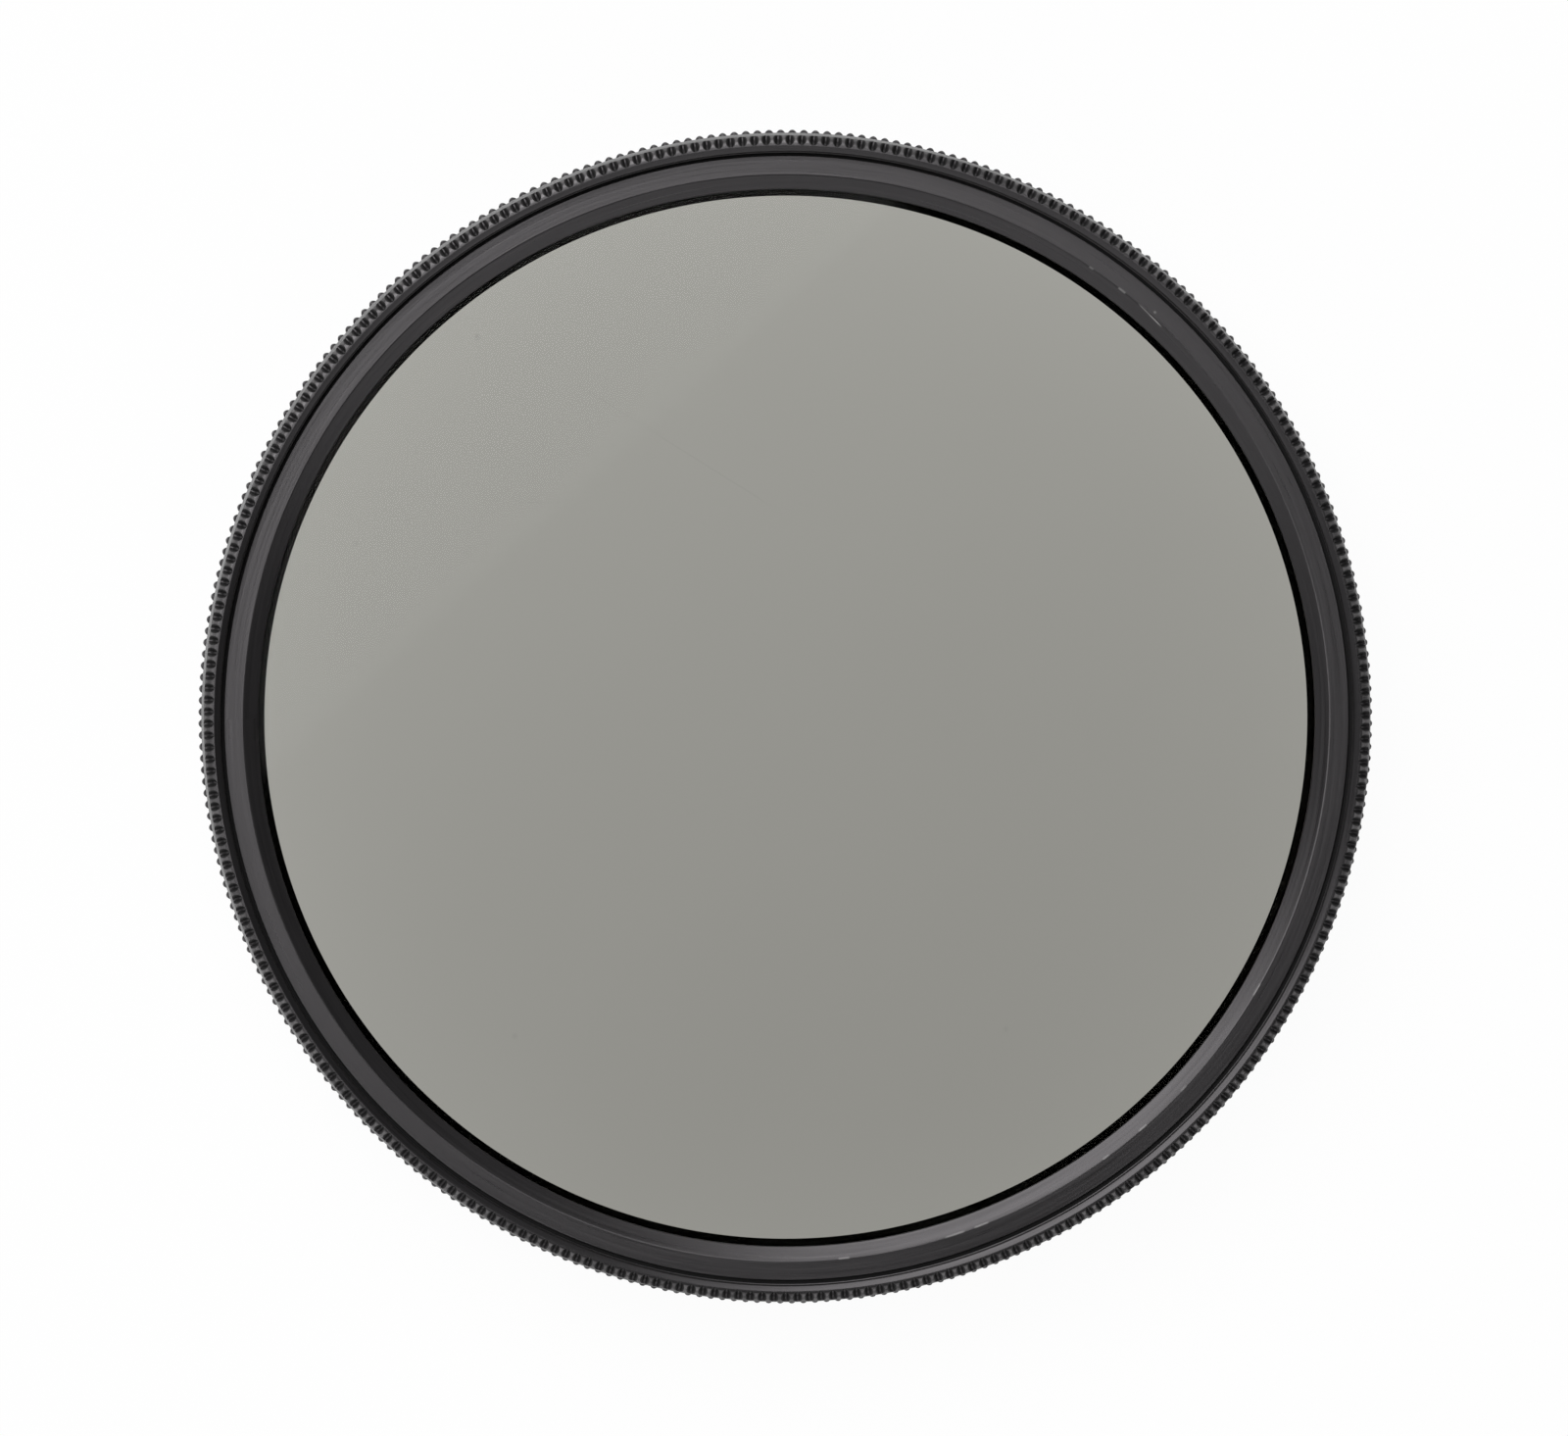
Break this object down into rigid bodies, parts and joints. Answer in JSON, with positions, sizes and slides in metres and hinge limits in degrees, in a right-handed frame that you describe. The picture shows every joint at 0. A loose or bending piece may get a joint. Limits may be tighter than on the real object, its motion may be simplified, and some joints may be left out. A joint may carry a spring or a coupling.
{
  "type": "rotating polarising lens filter",
  "caption": "Round screw-in polarising lens filter: a knurled front ring that carries the glass turns by hand on a knurled rear ring, whose male thread goes into the lens.",
  "frame": {"origin": "centre of the rear end of the male thread, on the optical axis", "axes": "+Z along the optical axis, from the lens towards the front of the filter"},
  "size_m": [0.0796, 0.0796, 0.0086],
  "materials": {
    "black_anodised": "satin black anodised, knurled",
    "black_anodised_turned": "satin black anodised over fine turning lines",
    "spring_steel": "bright flat spring wire",
    "clear_glass": "polished optical glass",
    "polarising_film": "clear film of a neutral grey tint"
  },
  "bodies": {
    "fixed_ring": {"rear_ring": "black_anodised", "spring_ring": "spring_steel"},
    "turning_ring": {"front_ring": "black_anodised", "retaining_ring": "black_anodised_turned", "front_glass": "clear_glass", "polarising_film": "polarising_film", "rear_glass": "clear_glass"}
  },
  "joints": [
    {"name": "front_ring_turn", "type": "hinge", "parent": "fixed_ring", "child": "turning_ring", "pos_m": [0, 0, 0.0032], "axis": [0, 0, 1], "continuous": true}
  ]
}
